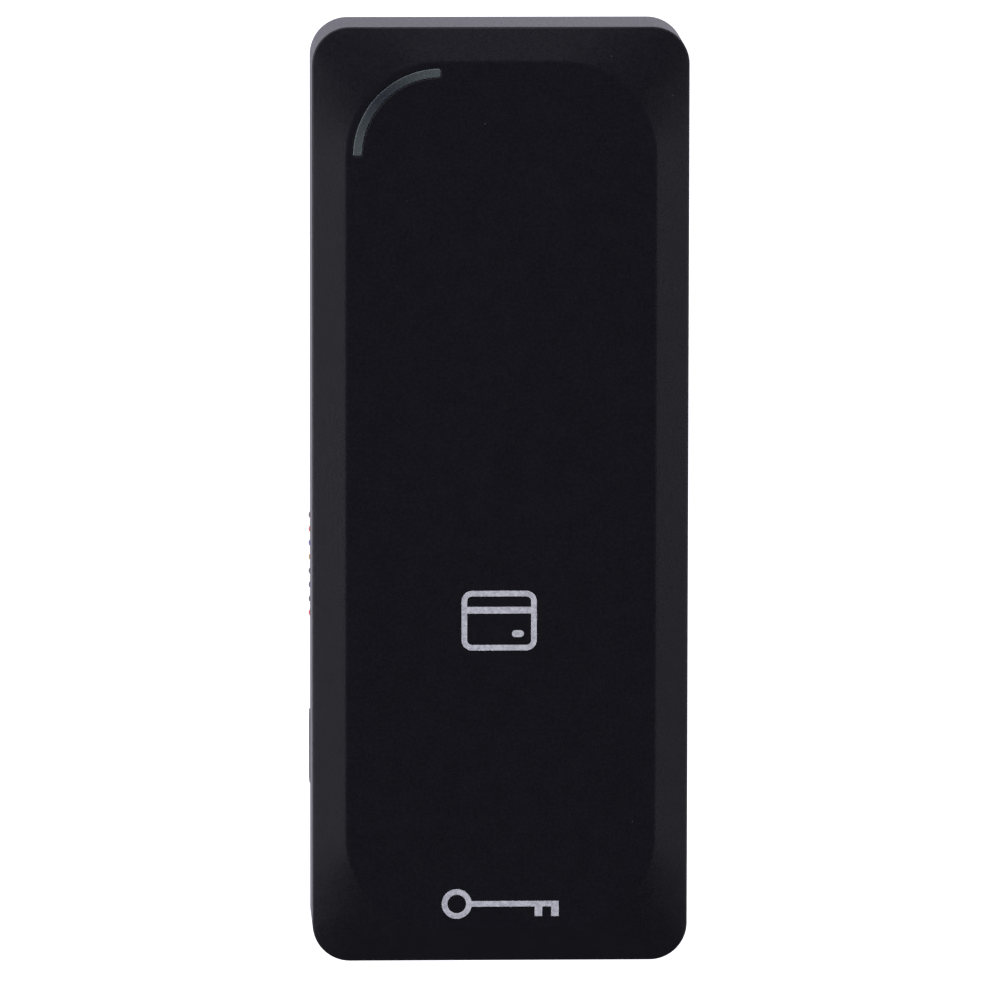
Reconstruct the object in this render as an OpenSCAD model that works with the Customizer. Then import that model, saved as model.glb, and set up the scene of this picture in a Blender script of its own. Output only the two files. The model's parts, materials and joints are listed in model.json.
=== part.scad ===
// RFID card reader for a door frame, hung on a folded steel wall bracket.
// +Z is up, the card side faces -Y, and the wall is the plane y = 0. Millimetres.
// The origin is the middle of the bracket's wall screw pattern.

/* [Reader body] */
// Width of the reader
body_w = 50; // [46:1:62]
// Height of the reader
body_h = 125; // [116:1:152]
// Depth of the skirt, from the wall side rim to the start of the bezel
skirt_depth = 16; // [15:0.5:22]
// Radius of the body's corners, seen from the front
corner_r = 5; // [4.5:0.5:8]
// Wall thickness of the skirt and of the front
wall = 2; // [1.8:0.1:2.4]
// Gap between the wall and the rim of the skirt
rim_gap = 1; // [0.8:0.1:1.2]

/* [Front panel] */
// Width of the sloped bezel round the raised panel
bezel_w = 4.5; // [3.6:0.1:5.2]
// How far the panel stands in front of the bezel's outer edge
panel_rise = 1.5; // [1:0.1:2]
// Radius of the panel's corners
panel_r = 12.5; // [11:0.5:14]
// Thickness of the front wall behind the panel
panel_t = 2; // [1.6:0.1:2.4]
// Thickness of the printed ink
ink_t = 0.04; // [0.02:0.01:0.06]
// Width of the card pictogram
card_w = 10; // [8:0.5:14]
// Height of the card pictogram
card_h = 8; // [6:0.5:10]
// Line width of the pictograms
line_w = 0.75; // [0.5:0.05:0.9]
// Length of the key pictogram
key_l = 15.6; // [13:0.2:18]

/* [Light guide] */
// Distance from the panel's edge to the light guide
guide_inset = 0.87; // [0.7:0.01:1.2]
// Width of the light guide's face
guide_w = 1.2; // [1:0.1:1.6]
// Clearance between the light guide and its slot
guide_gap = 0.06; // [0.04:0.01:0.1]
// Width of the foot that keeps the light guide from falling out
guide_foot = 0.8; // [0.6:0.1:1]

/* [Rear housing] */
// Thickness of the rear housing plate
housing_t = 2; // [2:0.1:2.4]
// Gap between the bracket and the rear housing
housing_gap = 0.5; // [0.4:0.1:0.6]
// Clearance between the rear housing and the skirt, all round
housing_fit = 0.15; // [0.1:0.05:0.2]
// Wall of the recesses in the rear housing
recess_wall = 1; // [0.8:0.1:1.2]
// Depth of the groove for the gasket
groove_d = 0.8; // [0.6:0.1:0.9]
// Diameter of the screws that hold the housing
housing_screw_d = 2.2; // [2:0.1:2.6]

/* [Wall bracket] */
// Sheet thickness of the bracket
sheet_t = 1.5; // [1.2:0.1:1.8]
// Space between the bracket's sides and the inside of the skirt
bracket_margin = 2; // [1.5:0.5:4]
// Distance between the two wall screws
wall_screw_spacing = 83.3; // [80:0.1:85]
// Diameter of the wall screw holes
wall_hole_d = 4.2; // [4:0.1:5]
// Width of the cable window
window_w = 28; // [22:1:30]
// Height of the cable window
window_h = 44; // [40:1:46]
// Width of each top hook
hook_w = 7; // [6:0.5:8]
// Distance of the hooks from the middle
hook_x = 9; // [8.5:0.5:10]
// Height of the hook's upturned tip
hook_tip = 2; // [1.5:0.1:2.2]
// Width of the bottom tab
tab_w = 10; // [9:0.5:12]

/* [Lock screw] */
// Diameter of the lock screw's shank
lock_d = 3; // [2.6:0.1:3.2]
// Diameter of the lock screw's head
lock_head_d = 5.5; // [5:0.1:5.8]
// Height of the lock screw's head
lock_head_h = 1.6; // [1.4:0.1:1.8]
// Length of the lock screw under its head
lock_l = 5; // [5:0.1:6]
// How far the lock screw is driven up to lock
lock_travel = 3; // [2.8:0.1:3]
// Radial clearance of the lock screw in the tab
lock_fit = 0.05; // [0.03:0.01:0.08]

/* [Tamper plunger] */
// Diameter of the plunger
plunger_d = 3; // [2.6:0.2:3.4]
// Radial clearance of the plunger in its bore
plunger_fit = 0.1; // [0.05:0.01:0.1]
// How far the plunger reaches past the wall plane when it is free
plunger_reach = 1.2; // [0.8:0.1:1.4]
// Travel of the plunger
plunger_travel = 1.5; // [1:0.1:1.5]

/* [Board] */
// Thickness of the circuit board
board_t = 1.6; // [1.2:0.2:1.6]
// Height of the standoffs between the front wall and the board
standoff = 2; // [2:0.1:2.4]
// Diameter of the screws that hold the board
board_screw_d = 2; // [1.6:0.2:2.2]
// Margin between the board's sides and the inside of the skirt
board_margin = 1.5; // [1:0.1:2]

/* [Harness] */
// Outer diameter of each wire
wire_d = 1.3; // [1.1:0.05:1.35]
// Distance between the wires where they leave the grommet
wire_pitch = 1.6; // [1.6:0.05:1.7]
// Clearance round each wire in its hole
wire_gap = 0.1; // [0.08:0.01:0.12]

/* [Hidden] */
$fn = 64;
eps = 0.05;                                  // clearance where two pieces of one body lie together
through = 1;                                 // how far a cut runs past the face that it opens

// Planes of the reader, from the wall to the front
rim_y = -rim_gap;                            // wall side rim of the skirt
bezel_y = rim_y - skirt_depth;               // outer edge of the bezel
panel_y = bezel_y - panel_rise;              // face of the raised panel
front_in_y = bezel_y + wall;                 // inside of the front wall at the bezel
panel_in_y = panel_y + panel_t;              // inside of the front wall behind the panel
housing_y = -sheet_t - housing_gap;          // wall side of the rear housing
housing_in_y = housing_y - housing_t;        // inner side of the rear housing
board_y = front_in_y + standoff;             // front side of the board
board_back_y = board_y + board_t;            // back of the board

// Outlines
cavity_w = body_w - 2 * wall;
cavity_h = body_h - 2 * wall;
cavity_r = corner_r - wall;
panel_w = body_w - 2 * bezel_w;
panel_h = body_h - 2 * bezel_w;
guide_land = 1.5;                            // plastic between the guide's slot and the panel pocket
pocket_inset = guide_inset + guide_w + guide_land;
guide_r = panel_r - guide_inset - guide_w / 2;
guide_x = -(panel_w / 2 - panel_r);
guide_z = panel_h / 2 - panel_r;
guide_foot_t = 0.8;                          // thickness of the guide's foot
guide_recess = 0.04;                         // how far the guide's face lies under the panel
key_z = -panel_h / 2 + 3.4;                  // key pictogram, up from the panel's lower edge
card_x = -0.2;                               // card pictogram, from the middle
card_z = -16.5;

// Hooks, tab and the swing axis
hinge_z = body_h / 2 - 6.5;                  // middle of the slots' rounded upper edge, which bears on the hooks
hinge_y = (housing_y + housing_in_y) / 2;
hook_top = hinge_z - housing_t / 2 - eps;    // upper face of the hooks' arms
hook_y = housing_in_y - 0.5;                 // wall side of the hook's tip
hook_slack = 0.75;                           // side clearance of a hook in its slot
hook_drop = hook_tip + 0.3;                  // room under the arm, to lift the reader off the hooks
tab_clear = 0.8;                             // gap under the tab, for the swing
lock_y = housing_in_y - 3.5;                 // axis of the lock screw
lock_head_z = -body_h / 2 + 0.1;             // underside of the screw's head, just recessed
lock_seat_z = lock_head_z + lock_head_h;     // where the shank starts
lock_tip_z = lock_seat_z + lock_l;
seal_t = 0.8;
seal_d = lock_head_d - 0.3;
bore_floor_z = lock_seat_z + seal_t + lock_travel + eps;
tab_floor_z = lock_tip_z + 0.2;              // floor of the tab's recess
tab_z = tab_floor_z + tab_clear;             // lower face of the tab
tab_roof_z = tab_z + sheet_t + 1.3;
tab_slack = 1;
tab_reach = lock_y - 3.5;                    // end of the tab
tower_w = tab_w + 2 * tab_slack + 2 * recess_wall;
tower_front_y = tab_reach - 0.6;
lock_bore_d = lock_head_d + 0.5;
lock_hole_d = lock_d + 0.4;
plunger_x = 10;
plunger_z = -27;
plunger_end_y = housing_in_y - 0.85;         // front of the plunger's flange
stem_d = 1.6;                                // stem that enters the switch
stem_l = 3.75;
switch_face_y = plunger_end_y - plunger_travel - 1.25;

// Bracket
bracket_w = cavity_w - 2 * bracket_margin;
bracket_r = 3;
head_d = 9.5;                                // room for a wall screw's head
head_depth = 3;

// Screws
housing_screw_l = 6.8;
housing_head_d = 4.2;
housing_head_h = 1.1;
housing_screw_in = max(3.5,                  // from the cavity's walls, so that the head clears the gasket
    cavity_r - (cavity_r - housing_fit - groove_d - housing_head_d / 2 - 0.2) / sqrt(2));
housing_screw_x = cavity_w / 2 - housing_screw_in;
housing_screw_z = cavity_h / 2 - housing_screw_in;
boss_d = 5;
board_screw_l = 4;
board_head_d = 3.6;
board_head_h = 1.3;
board_boss_d = 4.6;

// Board
board_w = cavity_w - 2 * board_margin;
board_top = cavity_h / 2 - 2;
board_bottom = tab_roof_z + recess_wall + 1;
board_h = board_top - board_bottom;
board_mid = (board_top + board_bottom) / 2;
notch = 5.5;                                 // notch in the board's upper corners, for the bosses
board_screw_x = board_w / 2 - 2.1;
board_screw_zs = [guide_z - 7.1, board_bottom + 3.5];
coil_w = 34;
coil_h = 78;
coil_z = -5;
coil_band = 3;
coil_t = 1.5;
coil_r = 6;
track_t = 0.04;

// Harness
wire_count = 8;
exit_z = -12;                                // middle of the row of wires
exit_y = housing_y + 0.8;                    // wall side face of the grommet
grommet_w = 4.6;
grommet_h = wire_pitch * (wire_count - 1) + 3.8;
grommet_lip = 1;
grommet_lip_t = 0.8;
pin_x = -12.9;                               // end of the connector where the wires enter
pin_y = 9.6;
pin_z = -40.9;
pin_pitch = 2;
plug_l = 12;
plug_w = 6;
plug_h = 9.6;
pin_depth = 1.5;                             // how deep a wire stands in the connector
wire_sides = 8;

// The top wire's route, and what each wire below adds to it. The last column of points moves
// neighbouring wires apart, one to each side, so that they pair up in the connector's two columns.
route = [
    [[0, exit_y + 0.1, -6.4], [0, 0, -1.6], [0, 0, 0]],
    [[0, 1.2, -6.4], [0, 0, -1.6], [0, 0, 0]],
    [[-1.2, 3.2, -6.4], [0, 0, -1.6], [0, 0, 0]],
    [[-4, 4, -6.2], [0, 0, -1.7], [0, 0, 0]],
    [[-12, 4, -5.8], [0, 0, -1.8], [0, 0, 0]],
    [[-20, 4, -5.5], [0, 0, -1.9], [0, 0, 0]],
    [[-23.2, 4.8, -5.5], [0, 0, -1.9], [0, 0, 0]],
    [[-24.4, 6.8, -5.5], [0, 0, -1.9], [0, 0, 0]],
    [[-23.2, 8.8, -5.5], [0, 0, -1.9], [0, 0, 0]],
    [[-20, 9.6, -5.5], [0, 0, -1.9], [0, 0, 0]],
    [[-13, 9.6, -5.5], [0, 0, -1.9], [0, 0, 0]],
    [[-4.5, 9.6, -7.8], [-0.7, 0, -1.7], [0, 0, 0]],
    [[1.8, 9.6, -14.3], [-1.2, 0, -1.2], [0, 0, 0]],
    [[4.1, 9.6, -23.2], [-1.5, 0, -0.3], [0, 0.1, 0]],
    [[1.8, 9.6, -32], [-1.2, 0, 0.25], [0, 0.5, 0]],
    [[-4.5, 9.6, -38.7], [-0.7, 0, 0.8], [0, 0.9, 0.2]],
    [[-11, 9.6, pin_z], [0, 0, 1], [0, 1, 0.5]],
    [[pin_x - pin_depth + eps, pin_y, pin_z], [0, 0, 1], [0, 1, 0.5]]
];

// ---- shapes ----

// A rounded rectangle in the plane of the panel
module round_rect(w, h, r) {
    square([w - 2 * r, h], center = true);
    square([w, h - 2 * r], center = true);
    for (x = [-1, 1], z = [-1, 1])
        translate([x * (w / 2 - r), z * (h / 2 - r)]) circle(r);
}

// A slot with round ends, upright, its whole height given
module stadium(w, h) {
    square([w, h - w], center = true);
    for (z = [-1, 1]) translate([0, z * (h - w) / 2]) circle(d = w);
}

// Extrudes an outline drawn in x and z between two planes of y
module slab(y0, y1) {
    translate([0, max(y0, y1), 0]) rotate([90, 0, 0])
        linear_extrude(height = abs(y1 - y0)) children();
}

// A cylinder along Y, between two planes of y
module rod_y(x, z, d, y0, y1) {
    translate([x, max(y0, y1), z]) rotate([90, 0, 0]) cylinder(d = d, h = abs(y1 - y0));
}

// A block from its two corners
module block(a, b) {
    translate([min(a[0], b[0]), min(a[1], b[1]), min(a[2], b[2])])
        cube([abs(b[0] - a[0]), abs(b[1] - a[1]), abs(b[2] - a[2])]);
}

// A quarter ring about the panel's upper left corner, with straight ends
module quarter_ring(w) {
    translate([guide_x, guide_z]) intersection() {
        difference() {
            circle(guide_r + w / 2);
            circle(guide_r - w / 2);
        }
        translate([-2 * guide_r, 0]) square(2 * guide_r);
    }
}

// A chip on the back of the board, or on its front
module chip(x, z, w, h, t, front = false) {
    y0 = front ? board_y : board_back_y;
    y1 = front ? board_y - t : board_back_y + t;
    block([x - w / 2, y0, z - h / 2], [x + w / 2, y1, z + h / 2]);
}

// ---- harness ----

function side_of(i) = i % 2 == 0 ? 1 : -1;
function wire_route(i) = [for (p = route) p[0] + i * p[1] + side_of(i) * p[2]];
function unit(v) = v / norm(v);
function heading(pts, k) = unit(
    (k < len(pts) - 1 ? unit(pts[k + 1] - pts[k]) : [0, 0, 0])
    + (k > 0 ? unit(pts[k] - pts[k - 1]) : [0, 0, 0]));
// The rings' upright direction: close to Z, turned towards X where the wire itself runs down
function ring_up(t) = unit(cross(t, unit(cross([0, 1, 0] + [0.3, 0, 0.3], t))));
function ring(pts, k) = let (t = heading(pts, k), u = ring_up(t), v = cross(t, u))
    [for (s = [0:wire_sides - 1]) let (a = 360 * s / wire_sides)
        pts[k] + wire_d / 2 * (cos(a) * u + sin(a) * v)];

module wire(i) {
    pts = wire_route(i);
    n = len(pts);
    m = wire_sides;
    skin = [for (k = [0:n - 2], s = [0:m - 1])
        [k * m + s, k * m + (s + 1) % m, (k + 1) * m + (s + 1) % m, (k + 1) * m + s]];
    ends = [[for (s = [m - 1:-1:0]) s], [for (s = [0:m - 1]) (n - 1) * m + s]];
    polyhedron(points = [for (k = [0:n - 1]) each ring(pts, k)], faces = concat(ends, skin));
}

module wire_brown() { color("saddlebrown") wire(0); }
module wire_orange() { color("orangered") wire(1); }
module wire_blue() { color("royalblue") wire(2); }
module wire_yellow() { color("goldenrod") wire(3); }
module wire_black() { color("dimgray") wire(4); }
module wire_violet() { color("mediumpurple") wire(5); }
module wire_green() { color("darkgreen") wire(6); }
module wire_red() { color("crimson") wire(7); }

function pin_at(i) = [pin_y + side_of(i), pin_z + i + side_of(i) / 2];
plug_mid_z = pin_z + (wire_count - 1) / 2;

// Housing of the plug: a collar where the wires enter, a smaller nose, and a latch on its back
module harness_connector() {
    collar = 5;
    nose_step = 0.6;
    contact_hole = 1.2;
    color("#202022") difference() {
        union() {
            block([pin_x - collar, pin_y - plug_w / 2, plug_mid_z - plug_h / 2],
                [pin_x, pin_y + plug_w / 2, plug_mid_z + plug_h / 2]);
            block([pin_x - plug_l, pin_y - plug_w / 2 + nose_step, plug_mid_z - plug_h / 2],
                [pin_x - collar, pin_y + plug_w / 2 - nose_step, plug_mid_z + plug_h / 2]);
            block([pin_x - plug_l + 1, pin_y + plug_w / 2 - nose_step, plug_mid_z - 1.5],
                [pin_x - collar, pin_y + plug_w / 2 + 0.4, plug_mid_z + 1.5]);
        }
        for (i = [0:wire_count - 1]) {
            translate([pin_x + through, pin_at(i)[0], pin_at(i)[1]]) rotate([0, -90, 0])
                cylinder(d = wire_d + 2 * wire_gap, h = pin_depth + through);
            block([pin_x - plug_l - through, pin_at(i)[0] - contact_hole / 2, pin_at(i)[1] - contact_hole / 2],
                [pin_x - plug_l + 4, pin_at(i)[0] + contact_hole / 2, pin_at(i)[1] + contact_hole / 2]);
        }
    }
}

module harness_contacts() {
    contact = 1;
    color("gold") for (i = [0:wire_count - 1])
        block([pin_x - plug_l + 0.8, pin_at(i)[0] - contact / 2, pin_at(i)[1] - contact / 2],
            [pin_x - plug_l + 4 - eps, pin_at(i)[0] + contact / 2, pin_at(i)[1] + contact / 2]);
}

// ---- bracket ----

module wall_bracket() {
    plate_h = hook_top - tab_z;
    color("silver") difference() {
        union() {
            translate([0, 0, (hook_top + tab_z) / 2])
                slab(-sheet_t, 0) round_rect(bracket_w, plate_h, bracket_r);
            for (side = [-1, 1]) {
                block([side * hook_x - hook_w / 2, hook_y - sheet_t, hook_top - sheet_t],
                    [side * hook_x + hook_w / 2, -sheet_t / 2, hook_top]);
                block([side * hook_x - hook_w / 2, hook_y - sheet_t, hook_top - sheet_t],
                    [side * hook_x + hook_w / 2, hook_y, hook_top + hook_tip]);
            }
            block([-tab_w / 2, tab_reach, tab_z], [tab_w / 2, -sheet_t / 2, tab_z + sheet_t]);
        }
        slab(-sheet_t - through, through) round_rect(window_w, window_h, bracket_r);
        for (side = [-1, 1])
            rod_y(0, side * wall_screw_spacing / 2, wall_hole_d, -sheet_t - through, through);
        rod_y(plunger_x, plunger_z, plunger_d + 2, -sheet_t - through, through);
        translate([0, lock_y, tab_z - through])
            cylinder(d = lock_d + 2 * lock_fit, h = sheet_t + 2 * through);
    }
}

// ---- shell ----

module housing_screw_places() {
    for (x = [-1, 1], z = [-1, 1]) translate([x * housing_screw_x, 0, z * housing_screw_z]) children();
}

module board_screw_places() {
    for (x = [-1, 1], z = board_screw_zs) translate([x * board_screw_x, 0, z]) children();
}

module front_cover() {
    seam = 0.3;                              // depth that the cap shares with the skirt
    lip = 0.1;                               // flat band at the panel's edge
    color("#26252b") difference() {
        union() {
            difference() {
                union() {
                    slab(bezel_y, rim_y) round_rect(body_w, body_h, corner_r);
                    hull() {
                        slab(bezel_y, bezel_y + seam) round_rect(body_w, body_h, corner_r, $fn = 48);
                        slab(panel_y, panel_y + lip) round_rect(panel_w, panel_h, panel_r, $fn = 48);
                    }
                }
                slab(front_in_y, rim_y + through) round_rect(cavity_w, cavity_h, cavity_r);
                slab(panel_in_y, front_in_y + through) round_rect(panel_w - 2 * pocket_inset,
                    panel_h - 2 * pocket_inset, panel_r - pocket_inset);
            }
            housing_screw_places() rod_y(0, 0, boss_d, front_in_y - seam, housing_in_y - eps);
            board_screw_places() rod_y(0, 0, board_boss_d, front_in_y - seam, board_y - eps);
        }
        housing_screw_places() rod_y(0, 0, housing_screw_d + 2 * eps,
            housing_y - housing_head_h - housing_screw_l - 0.5, housing_y);
        board_screw_places() rod_y(0, 0, board_screw_d + 2 * eps,
            board_back_y - board_screw_l - 0.3, board_back_y);
        slab(panel_y - through, front_in_y + through) quarter_ring(guide_w + 2 * guide_gap);
        translate([0, lock_y, -body_h / 2 - through])
            cylinder(d = lock_bore_d + 0.4, h = wall + 2 * through);
    }
}

module light_guide() {
    color("#5f6a6a") {
        slab(panel_y + guide_recess, front_in_y + eps) quarter_ring(guide_w);
        slab(front_in_y + eps, front_in_y + eps + guide_foot_t) quarter_ring(guide_w + 2 * guide_foot);
    }
}

module card_icon_print() {
    stripe_z = 1.4;
    stripe_w = 0.9;
    color("silver") translate([card_x, 0, card_z]) slab(panel_y - ink_t, panel_y) {
        difference() {
            round_rect(card_w, card_h, 1.4);
            round_rect(card_w - 2 * line_w, card_h - 2 * line_w, 0.65);
        }
        translate([0, stripe_z]) square([card_w - line_w, stripe_w], center = true);
        translate([card_w / 4, -1.75]) rotate(90) stadium(stripe_w, 1.6);
    }
}

// A plain key: ring, shank and two teeth
module key_icon_print() {
    ring_d = 4;
    tooth = 1;
    color("silver") translate([0, 0, key_z]) slab(panel_y - ink_t, panel_y) {
        translate([-key_l / 2 + ring_d / 2, 0]) difference() {
            circle(d = ring_d);
            circle(d = ring_d - 2 * line_w);
        }
        translate([-key_l / 2 + ring_d - line_w / 2, -line_w / 2]) square([key_l - ring_d + line_w / 2, line_w]);
        for (k = [0, 1])
            translate([key_l / 2 - tooth - k * 2.2, -line_w / 2 - 1.3]) square([tooth, 1.3 + line_w / 2]);
    }
}

// ---- rear housing ----

slot_w = hook_w + 2 * hook_slack;
slot_z = hook_top - sheet_t - hook_drop;     // lower edge of the hook slots

module hook_recess(grow) {
    for (side = [-1, 1])
        block([side * hook_x - slot_w / 2 - grow, hook_y - sheet_t - 1.2 - grow, slot_z - grow],
            [side * hook_x + slot_w / 2 + grow, housing_in_y + eps, hook_top + hook_tip + 0.6 + grow]);
}

module rear_housing() {
    edge_t = (housing_t - groove_d) / 2;     // plate left on each side of the gasket's groove
    w = cavity_w - 2 * housing_fit;
    h = cavity_h - 2 * housing_fit;
    r = cavity_r - housing_fit;
    bottom = -cavity_h / 2 + housing_fit;
    color("#303036") for (side = [-1, 1])
        translate([side * hook_x - slot_w / 2, hinge_y, hinge_z]) rotate([0, 90, 0])
            cylinder(d = housing_t, h = slot_w);
    color("#303036") difference() {
        union() {
            slab(housing_y, housing_y - edge_t) round_rect(w, h, r);
            slab(housing_y - edge_t, housing_in_y + edge_t)
                round_rect(w - 2 * groove_d, h - 2 * groove_d, r - groove_d);
            slab(housing_in_y, housing_in_y + edge_t) round_rect(w, h, r);
            for (side = [-1, 1]) rod_y(0, side * wall_screw_spacing / 2, head_d + 2 * recess_wall,
                housing_y - head_depth - recess_wall, housing_in_y + edge_t);
            hook_recess(recess_wall);
            block([-tower_w / 2, tower_front_y - recess_wall, bottom],
                [tower_w / 2, housing_in_y + edge_t, tab_roof_z + recess_wall]);
        }
        for (side = [-1, 1]) rod_y(0, side * wall_screw_spacing / 2, head_d,
            housing_y - head_depth, housing_y + through);
        hook_recess(0);
        for (side = [-1, 1])
            block([side * hook_x - slot_w / 2, housing_in_y - eps, slot_z],
                [side * hook_x + slot_w / 2, housing_y + through, hinge_z]);
        block([-tab_w / 2 - tab_slack, tower_front_y, tab_floor_z],
            [tab_w / 2 + tab_slack, housing_y + through, tab_roof_z]);
        translate([0, lock_y, bottom - through]) cylinder(d = lock_bore_d, h = bore_floor_z - bottom + through);
        translate([0, lock_y, bottom]) cylinder(d = lock_hole_d, h = tab_floor_z - bottom + through);
        translate([0, 0, exit_z]) slab(housing_in_y - through, housing_y + through)
            stadium(grommet_w + 2 * eps, grommet_h + 2 * eps);
        rod_y(plunger_x, plunger_z, plunger_d + 2 * plunger_fit, housing_in_y - through, housing_y + through);
        housing_screw_places() {
            rod_y(0, 0, housing_screw_d + 0.3, housing_in_y - through, housing_y + through);
            rod_y(0, 0, housing_head_d + 0.4, housing_y - housing_head_h - eps, housing_y + through);
        }
    }
}

module housing_gasket() {
    edge_t = (housing_t - groove_d) / 2;
    skin = 0.03;                             // what keeps the gasket off its groove's walls
    color("#151515") slab(housing_y - edge_t - skin, housing_in_y + edge_t + skin) difference() {
        round_rect(cavity_w - 2 * skin, cavity_h - 2 * skin, cavity_r - skin);
        round_rect(cavity_w - 2 * (groove_d + housing_fit - skin), cavity_h - 2 * (groove_d + housing_fit - skin),
            cavity_r - groove_d - housing_fit + skin);
    }
}

module housing_screws() {
    color("gainsboro") housing_screw_places() difference() {
        union() {
            rod_y(0, 0, housing_head_d, housing_y - housing_head_h, housing_y - eps);
            rod_y(0, 0, housing_screw_d, housing_y - housing_head_h - housing_screw_l, housing_y - housing_head_h);
        }
        translate([0, housing_y, 0]) rotate([90, 0, 0]) cylinder(d = 1.8, h = 0.8, $fn = 6);
    }
}

module cable_grommet() {
    color("#1b1b1d") translate([0, 0, exit_z]) difference() {
        union() {
            slab(housing_in_y - grommet_lip_t, housing_y + grommet_lip_t) stadium(grommet_w, grommet_h);
            for (y = [housing_y, housing_in_y - grommet_lip_t]) slab(y, y + grommet_lip_t)
                stadium(grommet_w + 2 * grommet_lip, grommet_h + 2 * grommet_lip);
        }
        for (i = [0:wire_count - 1]) rod_y(0, (i - (wire_count - 1) / 2) * wire_pitch, wire_d + 2 * wire_gap,
            housing_in_y - 2, housing_y + 2);
    }
}

module rating_label() {
    color("gainsboro") translate([0, 0, 12]) slab(housing_y, housing_y + 0.12) round_rect(22, 15, 1.5);
}

// ---- electronics ----

module main_board() {
    color("darkgreen") difference() {
        translate([0, 0, board_mid]) slab(board_y, board_back_y) square([board_w, board_h], center = true);
        for (side = [-1, 1]) block([side * board_w / 2 + side, board_y - through, board_top + through],
            [side * (housing_screw_x - boss_d / 2 - 0.4), board_back_y + through, board_top - notch]);
        board_screw_places() rod_y(0, 0, board_screw_d + 0.3, board_y - through, board_back_y + through);
    }
}

module board_screws() {
    color("gainsboro") board_screw_places() difference() {
        union() {
            rod_y(0, 0, board_head_d, board_back_y, board_back_y + board_head_h);
            rod_y(0, 0, board_screw_d, board_back_y - board_screw_l, board_back_y);
        }
        translate([0, board_back_y + board_head_h + eps, 0]) rotate([90, 0, 0])
            cylinder(d = 1.6, h = 0.8, $fn = 6);
    }
}

module led_chips() {
    color("lemonchiffon") for (a = [100:17.5:170])
        translate([guide_x + guide_r * cos(a), board_y, guide_z + guide_r * sin(a)])
            rotate([0, -a, 0]) translate([-0.6, -0.85, -0.8]) cube([1.2, 0.85, 1.6]);
}

module antenna_coil() {
    color("peru") translate([0, 0, coil_z]) slab(board_y - coil_t, board_y - eps) difference() {
        round_rect(coil_w, coil_h, coil_r);
        round_rect(coil_w - 2 * coil_band, coil_h - 2 * coil_band, coil_r - coil_band);
    }
}

module antenna_traces() {
    track = 0.6;
    pitch = 1.3;
    color("goldenrod") translate([0, 0, coil_z]) slab(board_y - track_t, board_y)
        for (k = [0:3]) let (inset = coil_band + 1 + k * pitch) difference() {
            square([coil_w - 2 * inset, coil_h - 2 * inset], center = true);
            square([coil_w - 2 * (inset + track), coil_h - 2 * (inset + track)], center = true);
        }
}

module controller_chip() {
    color("#1a1a1a") chip(9, 10, 7, 7, 1);
    color("silver") for (side = [-1, 1], k = [-3:3]) {
        chip(9 + side * 3.9, 10 + k * 0.8, 0.8, 0.35, 0.3);
        chip(9 + k * 0.8, 10 + side * 3.9, 0.35, 0.8, 0.3);
    }
}

module radio_chip() { color("#1a1a1a") chip(-9, 12, 5, 5, 0.9); }

module crystal() { color("silver") chip(-9, 18.5, 3.2, 2.5, 0.8); }

module voltage_regulator() {
    color("#1a1a1a") chip(11, 24, 6.5, 3.5, 1.6);
    color("silver") {
        chip(11, 26.5, 3, 1.5, 0.4);
        for (k = [-1:1]) chip(11 + k * 2.3, 21.6, 0.8, 1.3, 0.4);
    }
}

module capacitors() {
    color("silver") for (z = [-20, -26]) {
        rod_y(-14, z, 4, board_back_y + 0.4, board_back_y + 4.4);
        chip(-14, z, 4.4, 4.4, 0.4);
    }
}

module passives() {
    color("tan") {
        for (k = [0:5]) chip(-14 + k * 2, 6.5, 0.8, 1.6, 0.5);
        for (k = [0:4]) chip(-14.5, 10 + k * 2.2, 1.6, 0.8, 0.5);
        for (k = [0:4]) chip(5 + k * 2.2, 3.2, 0.8, 1.6, 0.5);
        for (k = [0:3]) chip(5 + k * 2.2, 17, 0.8, 1.6, 0.5);
        for (k = [0:2]) chip(5.2, 22 + k * 2.2, 1.6, 0.8, 0.5);
    }
}

module buzzer() {
    color("#1f1f22") difference() {
        rod_y(12, -38, 9, board_back_y, board_back_y + 4);
        rod_y(12, -38, 2, board_back_y + 2, board_back_y + 4 + through);
    }
}

module wire_places() {
    for (i = [0:wire_count - 1])
        translate([0, 0, exit_z + (i - (wire_count - 1) / 2) * wire_pitch]) children();
}

module wire_stubs() {
    color("dimgray") wire_places() rod_y(0, 0, wire_d, board_back_y + 1.5, exit_y);
}

// Bare ends of the wires, each standing in a cone of solder
module wire_terminals() {
    color("silver") wire_places() translate([0, board_back_y, 0]) rotate([-90, 0, 0]) {
        cylinder(d = 0.6, h = 1.5);
        cylinder(d1 = 1.3, d2 = 0.6, h = 0.7);
    }
}

module tamper_switch() {
    color("#2b2b2e") difference() {
        block([plunger_x - 3, board_back_y, plunger_z - 3], [plunger_x + 3, switch_face_y, plunger_z + 3]);
        rod_y(plunger_x, plunger_z, stem_d + 0.2, board_back_y + 0.4, switch_face_y + through);
    }
}

// ---- moving pieces ----

module tamper_plunger() {
    flange_t = 0.8;
    color("ivory") {
        rod_y(plunger_x, plunger_z, plunger_d, plunger_end_y + flange_t / 2, plunger_reach);
        rod_y(plunger_x, plunger_z, plunger_d + 2, plunger_end_y, plunger_end_y + flange_t);
        rod_y(plunger_x, plunger_z, stem_d, plunger_end_y - stem_l, plunger_end_y + flange_t / 2);
    }
}

module lock_screw_seal() {
    color("#151515") translate([0, lock_y, lock_seat_z + 0.01]) difference() {
        cylinder(d = seal_d, h = seal_t - 0.01);
        translate([0, 0, -through]) cylinder(d = lock_d + 2 * lock_fit, h = seal_t + 2 * through);
    }
}

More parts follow.
